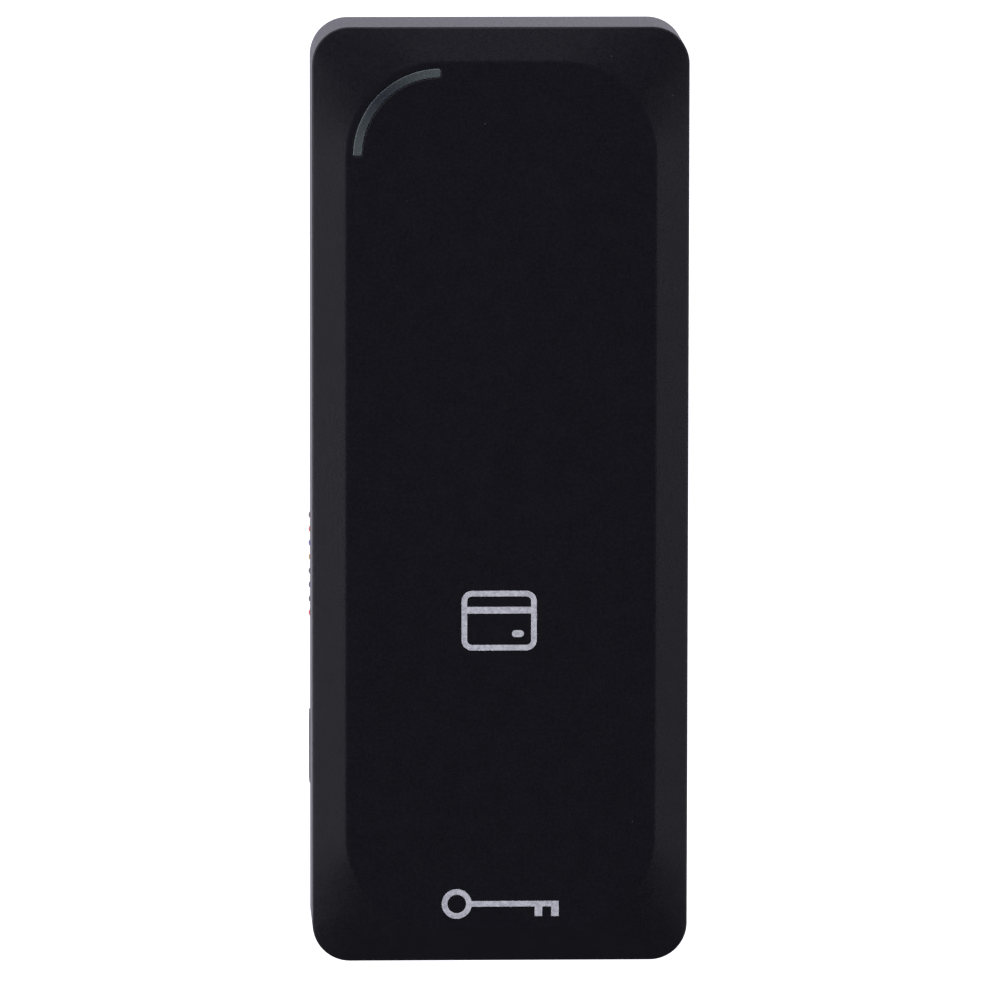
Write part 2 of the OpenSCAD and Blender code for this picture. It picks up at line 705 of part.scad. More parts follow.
module lock_screw() {
    color("gainsboro") translate([0, lock_y, lock_head_z]) difference() {
        union() {
            cylinder(d = lock_head_d, h = lock_head_h);
            cylinder(d = lock_d, h = lock_head_h + lock_l);
        }
        translate([0, 0, -eps]) cylinder(d = 2.4, h = 1.1, $fn = 6);
    }
}

// ---- nodes ----

wall_bracket();
wire_brown();
wire_orange();
wire_blue();
wire_yellow();
wire_black();
wire_violet();
wire_green();
wire_red();
harness_connector();
harness_contacts();
front_cover();
light_guide();
card_icon_print();
key_icon_print();
main_board();
led_chips();
antenna_coil();
antenna_traces();
controller_chip();
radio_chip();
crystal();
voltage_regulator();
capacitors();
passives();
buzzer();
wire_stubs();
wire_terminals();
cable_grommet();
rear_housing();
housing_gasket();
housing_screws();
board_screws();
rating_label();
tamper_switch();
tamper_plunger();
lock_screw_seal();
lock_screw();
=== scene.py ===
"""RFID card reader hung on its wall bracket: the looks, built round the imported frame.

Metres, +Z up, the card side faces -Y and the wall is the plane y = 0. Lengths written in
millimetres are multiplied by MM where they are used.
"""

import json
import math

import bmesh
import bpy
from mathutils import Matrix, Vector


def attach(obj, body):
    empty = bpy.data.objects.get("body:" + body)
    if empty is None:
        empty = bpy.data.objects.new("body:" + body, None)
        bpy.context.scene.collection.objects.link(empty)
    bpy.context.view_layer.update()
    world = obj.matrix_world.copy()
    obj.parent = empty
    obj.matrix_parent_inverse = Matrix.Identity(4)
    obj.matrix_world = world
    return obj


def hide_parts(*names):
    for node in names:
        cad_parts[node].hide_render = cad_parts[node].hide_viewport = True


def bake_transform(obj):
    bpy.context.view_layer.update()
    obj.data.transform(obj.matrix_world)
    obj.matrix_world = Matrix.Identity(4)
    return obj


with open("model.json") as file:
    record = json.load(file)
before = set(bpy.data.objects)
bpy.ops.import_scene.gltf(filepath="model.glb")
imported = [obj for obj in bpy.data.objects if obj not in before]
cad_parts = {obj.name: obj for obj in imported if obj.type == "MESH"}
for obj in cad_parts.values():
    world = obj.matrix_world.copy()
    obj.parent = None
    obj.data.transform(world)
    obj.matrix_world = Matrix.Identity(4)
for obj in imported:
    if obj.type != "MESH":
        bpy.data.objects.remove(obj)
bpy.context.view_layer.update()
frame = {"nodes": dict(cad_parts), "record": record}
NODES = frame["nodes"]
MM = 0.001


# ---- camera ----

def add_camera():
    """A long lens, a little to the left of the reader and above it."""
    azimuth, elevation, roll = (math.radians(a) for a in (2.07, 7.29, 0.085))
    back = Vector((-math.sin(azimuth) * math.cos(elevation), -math.cos(azimuth) * math.cos(elevation),
                   math.sin(elevation)))
    right = Vector((0, 0, 1)).cross(back).normalized()
    up = back.cross(right)
    turned_right = math.cos(roll) * right + math.sin(roll) * up
    turned_up = math.cos(roll) * up - math.sin(roll) * right
    target, distance = Vector((-0.054, -17, -0.535)) * MM, 1.559
    data = bpy.data.cameras.new("camera")
    data.lens = 422.5
    data.sensor_width = 36
    data.clip_start = 0.05
    data.clip_end = 100
    camera = bpy.data.objects.new("camera", data)
    bpy.context.scene.collection.objects.link(camera)
    place = Matrix((turned_right, turned_up, back)).transposed().to_4x4()
    place.translation = target + distance * back
    camera.matrix_world = place
    bpy.context.scene.camera = camera


add_camera()
bpy.context.scene.view_settings.view_transform = "Standard"


# ---- mesh helpers ----

def new_object(name, bm, slot, body=None, replaced=(), smooth_angle=30):
    """A finished mesh as an object, riding on a body and standing for CAD nodes."""
    mesh = bpy.data.meshes.new(name)
    bm.to_mesh(mesh)
    bm.free()
    mesh.shade_smooth()
    mesh.set_sharp_from_angle(angle=math.radians(smooth_angle))
    piece = bpy.data.objects.new(name, mesh)
    bpy.context.scene.collection.objects.link(piece)
    mesh.materials.append(MATERIALS[slot])
    if body:
        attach(piece, body)
    if replaced:
        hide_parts(*replaced)
    return piece


def bridge(bm, loop_a, loop_b):
    """Quads between two closed loops of the same length."""
    n = len(loop_a)
    for k in range(n):
        bm.faces.new((loop_a[k], loop_a[(k + 1) % n], loop_b[(k + 1) % n], loop_b[k]))


def bezier(a, corner, b, steps):
    """Points of a small fillet from a to b, bending round a corner, both ends included."""
    return [(1 - t) ** 2 * a + 2 * t * (1 - t) * corner + t * t * b
            for t in (k / steps for k in range(steps + 1))]


def smooth_path(points, per_span):
    """A curve through the points (Catmull-Rom with centripetal spacing)."""
    padded = [2 * points[0] - points[1]] + points + [2 * points[-1] - points[-2]]
    path = []
    for k in range(1, len(padded) - 2):
        p0, p1, p2, p3 = padded[k - 1:k + 3]
        t0 = 0.0
        t1 = math.sqrt((p1 - p0).length)
        t2 = t1 + math.sqrt((p2 - p1).length)
        t3 = t2 + math.sqrt((p3 - p2).length)
        for s in range(per_span):
            t = t1 + (t2 - t1) * s / per_span
            a1 = ((t1 - t) * p0 + (t - t0) * p1) / (t1 - t0)
            a2 = ((t2 - t) * p1 + (t - t1) * p2) / (t2 - t1)
            a3 = ((t3 - t) * p2 + (t - t2) * p3) / (t3 - t2)
            b1 = ((t2 - t) * a1 + (t - t0) * a2) / (t2 - t0)
            b2 = ((t3 - t) * a2 + (t - t1) * a3) / (t3 - t1)
            path.append(((t2 - t) * b1 + (t - t1) * b2) / (t2 - t1))
    path.append(points[-1])
    return path


def tube(path, radius, sides):
    """A closed tube along a path, its rings carried along without twisting."""
    bm = bmesh.new()
    rings = []
    up = Vector((0, 0, 1))
    for k, p in enumerate(path):
        ahead = path[min(k + 1, len(path) - 1)] - path[max(k - 1, 0)]
        t = ahead.normalized()
        up = (up - up.dot(t) * t).normalized()
        side = t.cross(up)
        rings.append([bm.verts.new(p + radius * (math.cos(a) * up + math.sin(a) * side))
                      for a in (2 * math.pi * s / sides for s in range(sides))])
    for a, b in zip(rings, rings[1:]):
        bridge(bm, a, b)
    bm.faces.new(rings[0][::-1])
    bm.faces.new(rings[-1])
    bmesh.ops.recalc_face_normals(bm, faces=bm.faces)
    return bm


def weight_normals(piece):
    """Normals that follow the large faces, so that small roundings don't shade them."""
    normals = piece.modifiers.new("face_normals", "WEIGHTED_NORMAL")
    normals.keep_sharp = True


def refined(node, slot, body, width):
    """A CAD node's own shape with its sharp edges rounded by a small radius, in millimetres."""
    bm = bmesh.new()
    bm.from_mesh(NODES[node].data)
    bmesh.ops.remove_doubles(bm, verts=bm.verts, dist=1e-6)
    bmesh.ops.dissolve_limit(bm, angle_limit=math.radians(0.6), verts=bm.verts, edges=bm.edges)
    sharp = [e for e in bm.edges if len(e.link_faces) == 2
             and e.calc_face_angle(0) > math.radians(35)]
    bmesh.ops.bevel(bm, geom=sharp, offset=width * MM, offset_type="OFFSET", segments=2,
                    profile=0.5, affect="EDGES", clamp_overlap=True)
    weight_normals(new_object(node + "_finished", bm, slot, body, (node,)))


# ---- materials ----

class Finish:
    """A Principled material with procedural colour, roughness and bump in object space."""

    def __init__(self, name, color, roughness, metallic=0.0, **constants):
        self.material = bpy.data.materials.new(name)
        self.material.use_nodes = True
        self.material.diffuse_color = (*color, 1)
        self.nodes = self.material.node_tree.nodes
        self.links = self.material.node_tree.links
        self.shader = self.nodes["Principled BSDF"]
        self.set("Base Color", (*color, 1))
        self.set("Roughness", roughness)
        self.set("Metallic", metallic)
        for socket, value in constants.items():
            self.set(socket.replace("_", " "), value)
        self.color = color
        self.roughness = roughness
        self.coords = self.nodes.new("ShaderNodeTexCoord").outputs["Object"]

    def set(self, socket, value):
        self.shader.inputs[socket].default_value = value

    def stretch(self, x, y, z):
        """Coordinates scaled apart, for grain with a direction."""
        mapping = self.nodes.new("ShaderNodeMapping")
        mapping.inputs["Scale"].default_value = (x, y, z)
        self.links.new(self.coords, mapping.inputs["Vector"])
        return mapping.outputs["Vector"]

    def noise(self, size_mm, detail=2.0, vector=None):
        """Noise whose spots are about size_mm across."""
        noise = self.nodes.new("ShaderNodeTexNoise")
        noise.inputs["Scale"].default_value = 1 / (size_mm * MM)
        noise.inputs["Detail"].default_value = detail
        self.links.new(vector or self.coords, noise.inputs["Vector"])
        return noise.outputs["Fac"]

    def span(self, value, low, high, out_low, out_high):
        """Maps a value's range onto another one."""
        node = self.nodes.new("ShaderNodeMapRange")
        for socket, number in (("From Min", low), ("From Max", high),
                               ("To Min", out_low), ("To Max", out_high)):
            node.inputs[socket].default_value = number
        self.links.new(value, node.inputs["Value"])
        return node.outputs["Result"]

    def math(self, operation, value, number=0.0):
        """One scalar operation on a value."""
        node = self.nodes.new("ShaderNodeMath")
        node.operation = operation
        node.inputs[1].default_value = number
        self.links.new(value, node.inputs[0])
        return node.outputs[0]

    def vector(self, operation, vector, operand=(0, 0, 0), output=0):
        """One vector operation; output is the socket's name where the answer is a single number."""
        node = self.nodes.new("ShaderNodeVectorMath")
        node.operation = operation
        node.inputs[1].default_value = operand
        self.links.new(vector, node.inputs[0])
        return node.outputs[output]

    def mix(self, factor, color_a, color_b):
        """One colour or socket faded into another."""
        node = self.nodes.new("ShaderNodeMix")
        node.data_type = "RGBA"
        self.links.new(factor, node.inputs[0])
        for socket, color in ((node.inputs[6], color_a), (node.inputs[7], color_b)):
            if isinstance(color, bpy.types.NodeSocket):
                self.links.new(color, socket)
            else:
                socket.default_value = (*color, 1)
        return node.outputs[2]

    def mottle(self, size_mm, amount, detail=3.0):
        """Lighter and darker patches."""
        low, high = (tuple(c * k for c in self.color) for k in (1 - amount, 1 + amount))
        mixed = self.mix(self.span(self.noise(size_mm, detail), 0.3, 0.7, 0, 1), low, high)
        self.links.new(mixed, self.shader.inputs["Base Color"])
        return self

    def vary_roughness(self, size_mm, amount, vector=None):
        """Glossier and duller patches."""
        low, high = self.roughness - amount, self.roughness + amount
        value = self.span(self.noise(size_mm, 3.0, vector), 0.3, 0.7, low, high)
        self.links.new(value, self.shader.inputs["Roughness"])
        return self

    def bump(self, height, depth_mm, strength=1.0):
        """Adds a height field; a second call stacks on the first."""
        node = self.nodes.new("ShaderNodeBump")
        node.inputs["Strength"].default_value = strength
        node.inputs["Distance"].default_value = depth_mm * MM
        self.links.new(height, node.inputs["Height"])
        normal = self.shader.inputs["Normal"]
        if normal.is_linked:
            self.links.new(normal.links[0].from_socket, node.inputs["Normal"])
        self.links.new(node.outputs["Normal"], normal)
        return self

    def grain(self, size_mm, depth_mm, detail=2.0, vector=None):
        """A fine bump of noise."""
        return self.bump(self.noise(size_mm, detail, vector), depth_mm)


def cover_plastic():
    """Black plastic with a spark-eroded mould's texture and a few specks of dust."""
    f = Finish("cover_plastic", (0.0065, 0.0062, 0.0092), 0.42, IOR=1.5, Specular_IOR_Level=0.3)
    f.grain(0.16, 0.012).grain(0.5, 0.01)
    f.vary_roughness(0.45, 0.05)
    cells = f.nodes.new("ShaderNodeTexVoronoi")
    cells.inputs["Scale"].default_value = 1 / (5 * MM)
    f.links.new(f.coords, cells.inputs["Vector"])
    near = f.span(cells.outputs["Distance"], 0.012, 0.02, 1, 0)
    shade = f.span(f.noise(2.2, 3.0), 0.3, 0.7, 0, 1)
    base = f.mix(shade, (0.0056, 0.0054, 0.0082), (0.0074, 0.0071, 0.0102))
    f.links.new(f.mix(near, base, (0.07, 0.065, 0.062)), f.shader.inputs["Base Color"])
    return f.material


def housing_plastic():
    """The rear housing's black plastic, a coarser and duller texture."""
    f = Finish("housing_plastic", (0.014, 0.0138, 0.0165), 0.55, IOR=1.46)
    f.grain(0.22, 0.014).grain(1.1, 0.01).mottle(3.5, 0.14).vary_roughness(0.6, 0.06)
    return f.material


def light_guide_plastic():
    """Frosted guide, unlit, with light and shade painted into its colour: paler at the rims (a painted
    highlight) and at the two ends (painted light), darker in the middle (painted shade).
    """
    f = Finish("light_guide", (0.24, 0.28, 0.28), 0.42, IOR=1.5, Subsurface_Weight=0.15)
    f.set("Subsurface Radius", (0.6 * MM, 0.7 * MM, 0.7 * MM))
    f.set("Subsurface Scale", 1.0)
    offset = f.vector("SUBTRACT", f.coords, (GUIDE_X * MM, 0, GUIDE_Z * MM))
    radius = f.vector("LENGTH", f.vector("MULTIPLY", offset, (1, 0, 1)), output="Value")
    across = f.span(radius, (GUIDE_R - GUIDE_W / 2) * MM, (GUIDE_R + GUIDE_W / 2) * MM, -1, 1)
    # painted highlight: this mask lightens both rims of the band
    rim = f.span(f.math("POWER", across, 4), 0.15, 0.95, 0, 1)
    apart = f.math("ABSOLUTE", f.vector("DOT_PRODUCT", offset, (1, 0, 1), output="Value"))
    # painted light towards the two ends of the arc, painted shade in its middle
    ends = f.span(apart, 0.1 * GUIDE_R * MM, 0.85 * GUIDE_R * MM, 0, 1)
    middle = f.mix(ends, (0.028, 0.034, 0.042), (0.082, 0.098, 0.096))
    # the rims' colour is a painted highlight, with the same painted light and shade along the arc
    edges = f.mix(ends, (0.06, 0.07, 0.076), (0.14, 0.16, 0.155))
    # the painted rim highlight laid over the band's painted light and shade
    f.links.new(f.mix(rim, middle, edges), f.shader.inputs["Base Color"])
    f.grain(0.12, 0.006)
    return f.material


def silver_ink():
    """Pad-printed metallic ink, with flakes and thin places."""
    f = Finish("silver_ink", (0.62, 0.62, 0.655), 0.5, metallic=0.25)
    thin = f.span(f.noise(0.55, 4.0), 0.36, 0.62, 0, 1)
    flakes = f.span(f.noise(0.13, 2.0), 0.3, 0.7, 0, 1)
    base = f.mix(flakes, (0.5, 0.5, 0.54), (0.74, 0.74, 0.77))
    f.links.new(f.mix(thin, base, (0.86, 0.86, 0.89)), f.shader.inputs["Base Color"])
    f.grain(0.13, 0.01).vary_roughness(0.3, 0.08)
    return f.material


def bracket_steel():
    """Zinc plated sheet, rolled along Z, with cloudy plating."""
    f = Finish("bracket_steel", (0.52, 0.53, 0.55), 0.36, metallic=1.0)
    rolled = f.stretch(1, 1, 0.04)
    f.grain(0.2, 0.004, 3.0, rolled).mottle(7, 0.1, 4.0).vary_roughness(0.3, 0.07, rolled)
    return f.material


def screw_steel():
    """Plated screws, brighter than the bracket."""
    f = Finish("screw_steel", (0.55, 0.55, 0.57), 0.3, metallic=1.0)
    f.grain(0.25, 0.003).mottle(1.5, 0.1).vary_roughness(0.4, 0.06)
    return f.material


def circuit_board():
    """Solder resist over glass cloth, with copper tracks showing as paler lines."""
    f = Finish("board", (0.012, 0.1, 0.045), 0.32, IOR=1.5)
    tracks = f.nodes.new("ShaderNodeTexBrick")
    for socket, number in (("Scale", 260.0), ("Mortar Size", 0.06), ("Mortar Smooth", 0.2),
                           ("Brick Width", 1.7), ("Row Height", 0.55)):
        tracks.inputs[socket].default_value = number
    tracks.inputs["Color1"].default_value = (0.012, 0.1, 0.045, 1)
    tracks.inputs["Color2"].default_value = (0.014, 0.115, 0.05, 1)
    tracks.inputs["Mortar"].default_value = (0.03, 0.19, 0.08, 1)
    turned = f.nodes.new("ShaderNodeMapping")
    turned.inputs["Rotation"].default_value = (math.radians(90), 0, 0)
    f.links.new(f.coords, turned.inputs["Vector"])
    f.links.new(turned.outputs["Vector"], tracks.inputs["Vector"])
    f.links.new(tracks.outputs["Color"], f.shader.inputs["Base Color"])
    f.grain(0.5, 0.006).vary_roughness(2.0, 0.05)
    return f.material


def wound_copper():
    """Enamelled turns lying side by side."""
    f = Finish("copper", (0.6, 0.27, 0.12), 0.3, metallic=0.9)
    f.mottle(0.4, 0.18).grain(0.18, 0.02).vary_roughness(0.5, 0.06)
    return f.material


def plain_finish(name, color, roughness, metallic, grain_mm, depth_mm, patch_mm, patch):
    """The small parts' finishes: one colour with patches, a fine grain and uneven gloss."""
    f = Finish(name, color, roughness, metallic=metallic)
    f.grain(grain_mm, depth_mm).mottle(patch_mm, patch).vary_roughness(patch_mm, 0.05)
    return f.material


def wire_pvc(name, color):
    """Extruded PVC: fine lines along the wire and a soft gloss."""
    f = Finish(name, color, 0.36, IOR=1.5)
    f.mottle(1.4, 0.09).grain(0.35, 0.008).vary_roughness(1.0, 0.05)
    return f.material


GUIDE_X, GUIDE_Z, GUIDE_R, GUIDE_W, GUIDE_ROUND = -8, 45.5, 11.03, 1.2, 0.3

MATERIALS = {
    "cover_plastic": cover_plastic(),
    "housing_plastic": housing_plastic(),
    "light_guide": light_guide_plastic(),
    "silver_ink": silver_ink(),
    "bracket_steel": bracket_steel(),
    "screw_steel": screw_steel(),
    "board": circuit_board(),
    "copper": wound_copper(),
    "chip_black": plain_finish("chip_black", (0.02, 0.02, 0.021), 0.45, 0, 0.1, 0.008, 1.2, 0.15),
    "tin": plain_finish("tin", (0.66, 0.67, 0.69), 0.28, 1, 0.3, 0.006, 1.0, 0.08),
    "rubber": plain_finish("rubber", (0.018, 0.018, 0.019), 0.62, 0, 0.3, 0.02, 2.0, 0.2),
    "label_film": plain_finish("label_film", (0.55, 0.56, 0.58), 0.38, 0.35, 0.4, 0.004, 3.0, 0.05),
    "light_chip": plain_finish("light_chip", (0.8, 0.76, 0.5), 0.35, 0, 0.3, 0.004, 0.8, 0.12),
    "plug_plastic": plain_finish("plug_plastic", (0.014, 0.014, 0.015), 0.4, 0, 0.3, 0.01, 2.0, 0.18),
    "contact_metal": plain_finish("contact_metal", (0.72, 0.5, 0.2), 0.28, 1, 0.2, 0.004, 0.7, 0.1),
    "plunger_plastic": plain_finish("plunger_plastic", (0.72, 0.69, 0.6), 0.38, 0, 0.3, 0.006, 1.5, 0.05),
    "wire_brown": wire_pvc("wire_brown", (0.09, 0.035, 0.018)),
    "wire_orange": wire_pvc("wire_orange", (0.78, 0.075, 0.02)),
    "wire_blue": wire_pvc("wire_blue", (0.03, 0.045, 0.36)),
    "wire_yellow": wire_pvc("wire_yellow", (0.6, 0.3, 0.03)),
    "wire_black": wire_pvc("wire_black", (0.014, 0.013, 0.016)),
    "wire_violet": wire_pvc("wire_violet", (0.1, 0.055, 0.16)),
    "wire_green": wire_pvc("wire_green", (0.012, 0.06, 0.028)),
    "wire_red": wire_pvc("wire_red", (0.62, 0.015, 0.018)),
}
for subpart in frame["record"]["subparts"]:
    cad = NODES[subpart["node"]]
    cad.data.materials.clear()
    cad.data.materials.append(MATERIALS[subpart["material_slot"]])
    cad.data.shade_smooth()
    cad.data.set_sharp_from_angle(angle=math.radians(30))


# ---- harness ----

WIRE_D = 1.3
PIN_X, PIN_Z = -12.9, -40.9
WIRES = ["brown", "orange", "blue", "yellow", "black", "violet", "green", "red"]
# The top wire's points, what each wire below adds, and what moves neighbours apart, in millimetres
ROUTE = [
    ((0, -1.19, -6.4), (0, 0, -1.6), (0, 0, 0)),
    ((0, 1.2, -6.4), (0, 0, -1.6), (0, 0, 0)),
    ((-1.2, 3.2, -6.4), (0, 0, -1.6), (0, 0, 0)),
    ((-4, 4, -6.2), (0, 0, -1.7), (0, 0, 0)),
    ((-12, 4, -5.8), (0, 0, -1.8), (0, 0, 0)),
    ((-20, 4, -5.5), (0, 0, -1.9), (0, 0, 0)),
    ((-23.2, 4.8, -5.5), (0, 0, -1.9), (0, 0, 0)),
    ((-24.4, 6.8, -5.5), (0, 0, -1.9), (0, 0, 0)),
    ((-23.2, 8.8, -5.5), (0, 0, -1.9), (0, 0, 0)),
    ((-20, 9.6, -5.5), (0, 0, -1.9), (0, 0, 0)),
    ((-13, 9.6, -5.5), (0, 0, -1.9), (0, 0, 0)),
    ((-4.5, 9.6, -7.8), (-0.7, 0, -1.7), (0, 0, 0)),
    ((1.8, 9.6, -14.3), (-1.2, 0, -1.2), (0, 0, 0)),
    ((4.1, 9.6, -23.2), (-1.5, 0, -0.3), (0, 0.1, 0)),
    ((1.8, 9.6, -32), (-1.2, 0, 0.25), (0, 0.5, 0)),
    ((-4.5, 9.6, -38.7), (-0.7, 0, 0.8), (0, 0.9, 0.2)),
    ((-11, 9.6, PIN_Z), (0, 0, 1), (0, 1, 0.5)),
    ((PIN_X - 1.45, 9.6, PIN_Z), (0, 0, 1), (0, 1, 0.5)),
]


def add_wires():
    """Eight wires from the grommet, lying behind the reader by the bracket; the tubes ride on no body."""
    for i, color in enumerate(WIRES):
        side = 1 if i % 2 == 0 else -1
        points = [(Vector(top) + i * Vector(step) + side * Vector(apart)) * MM for top, step, apart in ROUTE]
        path = smooth_path(points, 5)
        wire = new_object(f"wire_{color}_tube", tube(path, WIRE_D / 2 * MM, 12), f"wire_{color}",
                          replaced=(f"wire_{color}",), smooth_angle=50)
        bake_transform(wire)


refined("harness_connector", "plug_plastic", "bracket", 0.12)
add_wires()


# ---- front cover ----

BODY_W, BODY_H, CORNER_R = 50, 125, 5
PANEL_W, PANEL_H, PANEL_R = 41, 116, 12.5
RIM_Y, BEZEL_Y, PANEL_Y = -1, -17, -18.5
WALL, FRONT_IN_Y, PANEL_IN_Y = 2, -15, -16.5
POCKET_INSET = 3.57
HOUSING_IN_Y, BOARD_Y = -4, -13
HOUSING_SCREW_X, HOUSING_SCREW_Z = 19.5, 57
HOUSING_BOSS_R, HOUSING_PILOT_R, HOUSING_PILOT_Y = 2.5, 1.15, -10.4
BOARD_SCREW_X, BOARD_SCREW_ZS = 19.4, (38.4, -46.5)
BOARD_BOSS_R, BOARD_PILOT_R, BOARD_PILOT_Y = 2.3, 1.05, -15.7
LOCK_Y, LOCK_BORE_R = -7.5, 3.2


def cover_outline():
    """Matching points of the panel's and the body's outlines, each with its outward normal.

    A panel point's partner lies straight out from it, along the panel's own normal."""
    center = Vector((PANEL_W / 2 - PANEL_R, 0, PANEL_H / 2 - PANEL_R))
    arc = Vector((BODY_W / 2 - CORNER_R, 0, BODY_H / 2 - CORNER_R))
    straight, turns = 7, 18
    edge = [(Vector((BODY_W / 2, 0, center.z + (arc.z - center.z) * k / straight)), Vector((1, 0, 0)))
            for k in range(straight)]
    for k in range(turns + 1):
        out = Vector((math.cos(math.radians(90 * k / turns)), 0, math.sin(math.radians(90 * k / turns))))
        edge.append((arc + CORNER_R * out, out))
    edge += [(Vector((center.x + (arc.x - center.x) * k / straight, 0, BODY_H / 2)), Vector((0, 0, 1)))
             for k in reversed(range(straight))]
    quadrant = []
    for o, out in edge:
        n = (o - center).normalized()
        quadrant.append((center + PANEL_R * n, n, o, out))
    points = []
    for sx, sz in ((1, 1), (-1, 1), (-1, -1), (1, -1)):
        part = [[Vector((sx * v.x, 0, sz * v.z)) for v in four] for four in quadrant]
        points += part if sx * sz > 0 else part[::-1]
    return points


def cover_shell():
    """The shell, lofted from the panel over the bezel and the skirt to the rim, and back inside.

    The bezel is straight across on the sides, and a little fuller where it is wide, in the corners."""
    edge, crest, rim, inner_rim = 0.25, 0.25, 0.25, 0.15
    drop = BEZEL_Y - PANEL_Y
    side_run = (BODY_W - PANEL_W) / 2
    down = Vector((0, 1, 0))
    bm = bmesh.new()
    columns = []
    for i, n, o, out in cover_outline():
        run = (o - i).length
        full = 0.3 * (1 - side_run / run)

        def bezel(s):
            t = s / run
            return i + s * n + (PANEL_Y + drop * t * (1 - full * (1 - t))) * down

        panel, shoulder, foot = i + PANEL_Y * down, o + BEZEL_Y * down, o + RIM_Y * down
        column = bezier(panel - crest * n, panel, bezel(crest), 4)
        column += [bezel(crest + (run - crest - edge) * t) for t in (0.12, 0.25, 0.38, 0.5, 0.62, 0.74, 0.87)]
        column += bezier(bezel(run - edge), shoulder, shoulder + edge * down, 5)
        column += [o + (BEZEL_Y + 4) * down, o + (RIM_Y - 4) * down]
        column += bezier(foot - rim * down, foot, foot - rim * out, 3)
        inside, pocket = o - WALL * out, i - POCKET_INSET * n
        column += [inside + inner_rim * out + RIM_Y * down, inside + (RIM_Y - inner_rim) * down,
                   inside + FRONT_IN_Y * down, pocket + FRONT_IN_Y * down, pocket + PANEL_IN_Y * down]
        columns.append([bm.verts.new(v * MM) for v in column])
    rows = list(zip(*columns))
    for a, b in zip(rows, rows[1:]):
        bridge(bm, a, b)
    bm.faces.new(rows[0][::-1])
    bm.faces.new(rows[-1])
    bmesh.ops.recalc_face_normals(bm, faces=bm.faces)
    return bm


def cylinder(bm, center, radius, y0, y1):
    """A cylinder along Y between two planes, in millimetres."""
    middle = Matrix.Translation(Vector((center[0], (y0 + y1) / 2, center[1])) * MM)
    bmesh.ops.create_cone(bm, cap_ends=True, segments=40, radius1=radius * MM, radius2=radius * MM,
                          depth=abs(y1 - y0) * MM, matrix=middle @ Matrix.Rotation(math.radians(90), 4, "X"))


def guide_outline(grow):
    """The light guide's outline, a quarter ring with rounded ends, grown all round by a distance."""
    r_in, r_out = GUIDE_R - GUIDE_W / 2, GUIDE_R + GUIDE_W / 2
    steps, turns = 36, 5

    def corner(x, z, start):
        angles = (math.radians(start + 90 * k / turns) for k in range(turns + 1))
        return [Vector((x + (GUIDE_ROUND + grow) * math.cos(a), 0, z + (GUIDE_ROUND + grow) * math.sin(a)))
                for a in angles]

    def arc(r, start, end):
        margin = math.degrees(GUIDE_ROUND / r) * (1 if end > start else -1)
        turn = end - start - 2 * margin
        angles = (math.radians(start + margin + turn * k / steps) for k in range(1, steps))
        return [Vector((r * math.cos(a), 0, r * math.sin(a))) for a in angles]

    outline = corner(-GUIDE_ROUND, r_out - GUIDE_ROUND, 0) + arc(r_out + grow, 90, 180)
    outline += corner(GUIDE_ROUND - r_out, GUIDE_ROUND, 180) + corner(-r_in - GUIDE_ROUND, GUIDE_ROUND, 270)
    outline += arc(r_in - grow, 180, 90) + corner(-GUIDE_ROUND, r_in + GUIDE_ROUND, 270)
    return [v + Vector((GUIDE_X, 0, GUIDE_Z)) for v in outline]


def quarter_ring(bm, rows):
    """A solid from the guide's outline: rows of (how much the outline has grown, y)."""
    loops = [[bm.verts.new((v + Vector((0, y, 0))) * MM) for v in guide_outline(grow)] for grow, y in rows]
    for a, b in zip(loops, loops[1:]):
        bridge(bm, a, b)
    bm.faces.new(loops[0][::-1])
    bm.faces.new(loops[-1])
    bmesh.ops.recalc_face_normals(bm, faces=bm.faces)


def combine(bm, tool, operation):
    """The exact boolean of two meshes, as a new mesh."""
    objects = []
    for name, source in (("base", bm), ("tool", tool)):
        mesh = bpy.data.meshes.new(name)
        source.to_mesh(mesh)
        source.free()
        objects.append(bpy.data.objects.new(name, mesh))
        bpy.context.scene.collection.objects.link(objects[-1])
    base, cutter = objects
    modifier = base.modifiers.new("combine", "BOOLEAN")
    modifier.operation = operation
    modifier.object = cutter
    modifier.solver = "EXACT"
    result = bmesh.new()
    result.from_mesh(base.evaluated_get(bpy.context.evaluated_depsgraph_get()).to_mesh())
    bmesh.ops.remove_doubles(result, verts=result.verts, dist=0.002 * MM)
    for o in objects:
        mesh = o.data
        bpy.data.objects.remove(o)
        bpy.data.meshes.remove(mesh)
    return result


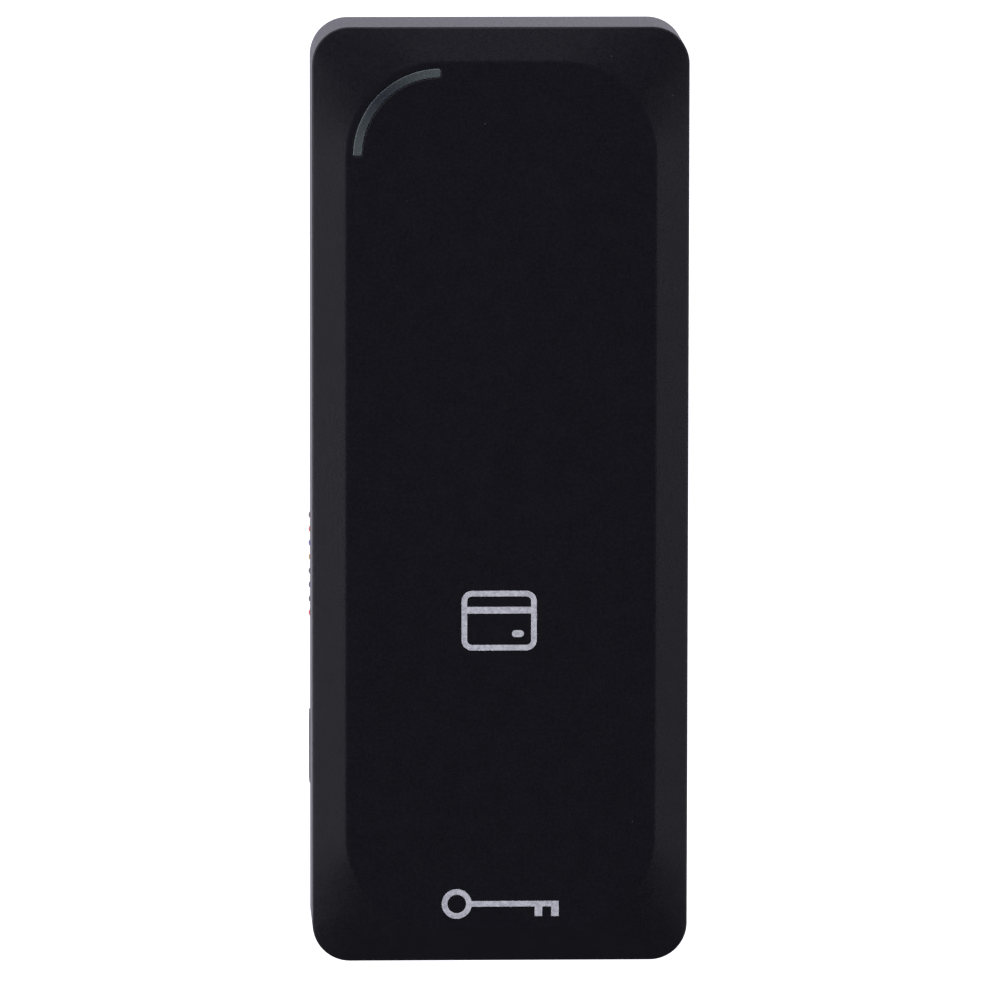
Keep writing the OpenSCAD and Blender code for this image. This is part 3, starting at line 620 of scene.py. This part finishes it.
def finish_cover():
    """The shell with its screw bosses, the guide's slot and the lock screw's bore."""
    bm = cover_shell()
    bosses = bmesh.new()
    holes = bmesh.new()
    root_y, lip = FRONT_IN_Y - 0.3, 0.05
    for x in (-1, 1):
        for z in (-HOUSING_SCREW_Z, HOUSING_SCREW_Z):
            cylinder(bosses, (HOUSING_SCREW_X * x, z), HOUSING_BOSS_R, root_y, HOUSING_IN_Y - lip)
            cylinder(holes, (HOUSING_SCREW_X * x, z), HOUSING_PILOT_R, HOUSING_PILOT_Y, HOUSING_IN_Y + 1)
        for z in BOARD_SCREW_ZS:
            cylinder(bosses, (BOARD_SCREW_X * x, z), BOARD_BOSS_R, root_y, BOARD_Y - lip)
            cylinder(holes, (BOARD_SCREW_X * x, z), BOARD_PILOT_R, BOARD_PILOT_Y, BOARD_Y + 1)
    gap, flare = 0.06, 0.1
    quarter_ring(holes, [(gap + flare, PANEL_Y - 0.3), (gap + flare, PANEL_Y), (gap, PANEL_Y + flare),
                         (gap, FRONT_IN_Y + 1)])
    bmesh.ops.create_cone(holes, cap_ends=True, segments=48, depth=4 * MM,
                          radius1=LOCK_BORE_R * MM, radius2=LOCK_BORE_R * MM,
                          matrix=Matrix.Translation(Vector((0, LOCK_Y, 1 - BODY_H / 2)) * MM))
    bm = combine(bm, bosses, "UNION")
    bm = combine(bm, holes, "DIFFERENCE")
    cover = new_object("cover_shell", bm, "cover_plastic", "reader", ("front_cover",), smooth_angle=32)
    weight_normals(cover)


def add_light_guide():
    """The frosted guide, its face just under the panel with softened edges, on a wider foot."""
    bm = bmesh.new()
    face, soft, foot = PANEL_Y + 0.04, 0.14, 0.8
    foot_y = FRONT_IN_Y + 0.05
    quarter_ring(bm, [(-2 * soft, face + 0.02), (-soft, face), (-0.35 * soft, face + 0.3 * soft),
                      (0, face + soft), (0, foot_y), (foot, foot_y), (foot, foot_y + 0.8)])
    new_object("light_guide_lens", bm, "light_guide", "reader", ("light_guide",), smooth_angle=40)


finish_cover()
add_light_guide()


# ---- the other pieces whose edges show ----

refined("wall_bracket", "bracket_steel", "bracket", 0.18)
refined("rear_housing", "housing_plastic", "reader", 0.12)
refined("cable_grommet", "rubber", "reader", 0.18)
refined("housing_screws", "screw_steel", "reader", 0.12)
refined("board_screws", "screw_steel", "reader", 0.12)
refined("lock_screw", "screw_steel", "lock_screw", 0.2)
refined("tamper_plunger", "plunger_plastic", "tamper_plunger", 0.25)


# ---- studio ----

SOFTBOX_COLOR = (0.94, 0.95, 1.06)
SOFTBOX_DISTANCE = 1.1


def add_softbox(name, azimuth, elevation, width, height, watts):
    """An area light that looks at the reader; azimuth from the front, towards +X."""
    azimuth, elevation = math.radians(azimuth), math.radians(elevation)
    way = Vector((math.sin(azimuth) * math.cos(elevation), -math.cos(azimuth) * math.cos(elevation),
                  math.sin(elevation)))
    data = bpy.data.lights.new(name, "AREA")
    data.shape = "RECTANGLE"
    data.size, data.size_y = width, height
    data.energy = watts
    data.color = SOFTBOX_COLOR
    light = bpy.data.objects.new(name, data)
    light.location = way * SOFTBOX_DISTANCE
    light.rotation_euler = way.to_track_quat("Z", "Y").to_euler()
    bpy.context.scene.collection.objects.link(light)


def add_world():
    """Bright behind and above the reader, dim in front of it; plain white to the camera."""
    world = bpy.data.worlds.new("studio")
    bpy.context.scene.world = world
    world.use_nodes = True
    nodes, links = world.node_tree.nodes, world.node_tree.links
    background = nodes["Background"]
    background.inputs["Color"].default_value = (0.97, 0.94, 1.1, 1)
    direction = nodes.new("ShaderNodeTexCoord").outputs["Generated"]
    split = nodes.new("ShaderNodeSeparateXYZ")
    links.new(direction, split.inputs[0])
    glow = nodes.new("ShaderNodeMapRange")
    glow.interpolation_type = "SMOOTHSTEP"
    for socket, number in (("From Min", -0.35), ("From Max", 0.5), ("To Min", 0.012), ("To Max", 0.92)):
        glow.inputs[socket].default_value = number
    links.new(split.outputs["Y"], glow.inputs["Value"])
    seen = nodes.new("ShaderNodeLightPath")
    strength = nodes.new("ShaderNodeMix")
    links.new(seen.outputs["Is Camera Ray"], strength.inputs[0])
    links.new(glow.outputs[0], strength.inputs[2])
    strength.inputs[3].default_value = 1.1
    links.new(strength.outputs[0], background.inputs["Strength"])


def add_floor():
    """White paper far below, only for the camera: it neither lights the reader nor shows in its gloss."""
    bm = bmesh.new()
    bmesh.ops.create_circle(bm, cap_ends=True, segments=96, radius=20)
    mesh = bpy.data.meshes.new("floor")
    bm.to_mesh(mesh)
    bm.free()
    floor = bpy.data.objects.new("floor", mesh)
    floor.location = (0, 0, -1.2)
    bpy.context.scene.collection.objects.link(floor)
    f = Finish("floor_paper", (0.9, 0.9, 0.9), 0.9)
    f.set("Emission Color", (1, 1, 1, 1))
    f.set("Emission Strength", 0.95)
    mesh.materials.append(f.material)
    floor.visible_diffuse = False
    floor.visible_glossy = False


add_softbox("left_box", -58, 8, 0.5, 1.7, 11)
add_softbox("right_box", 60, 8, 0.5, 1.7, 6.5)
add_softbox("top_box", -5, 62, 1.1, 0.5, 4.4)
add_softbox("low_box", 0, -48, 0.9, 0.4, 0.25)
add_world()
add_floor()
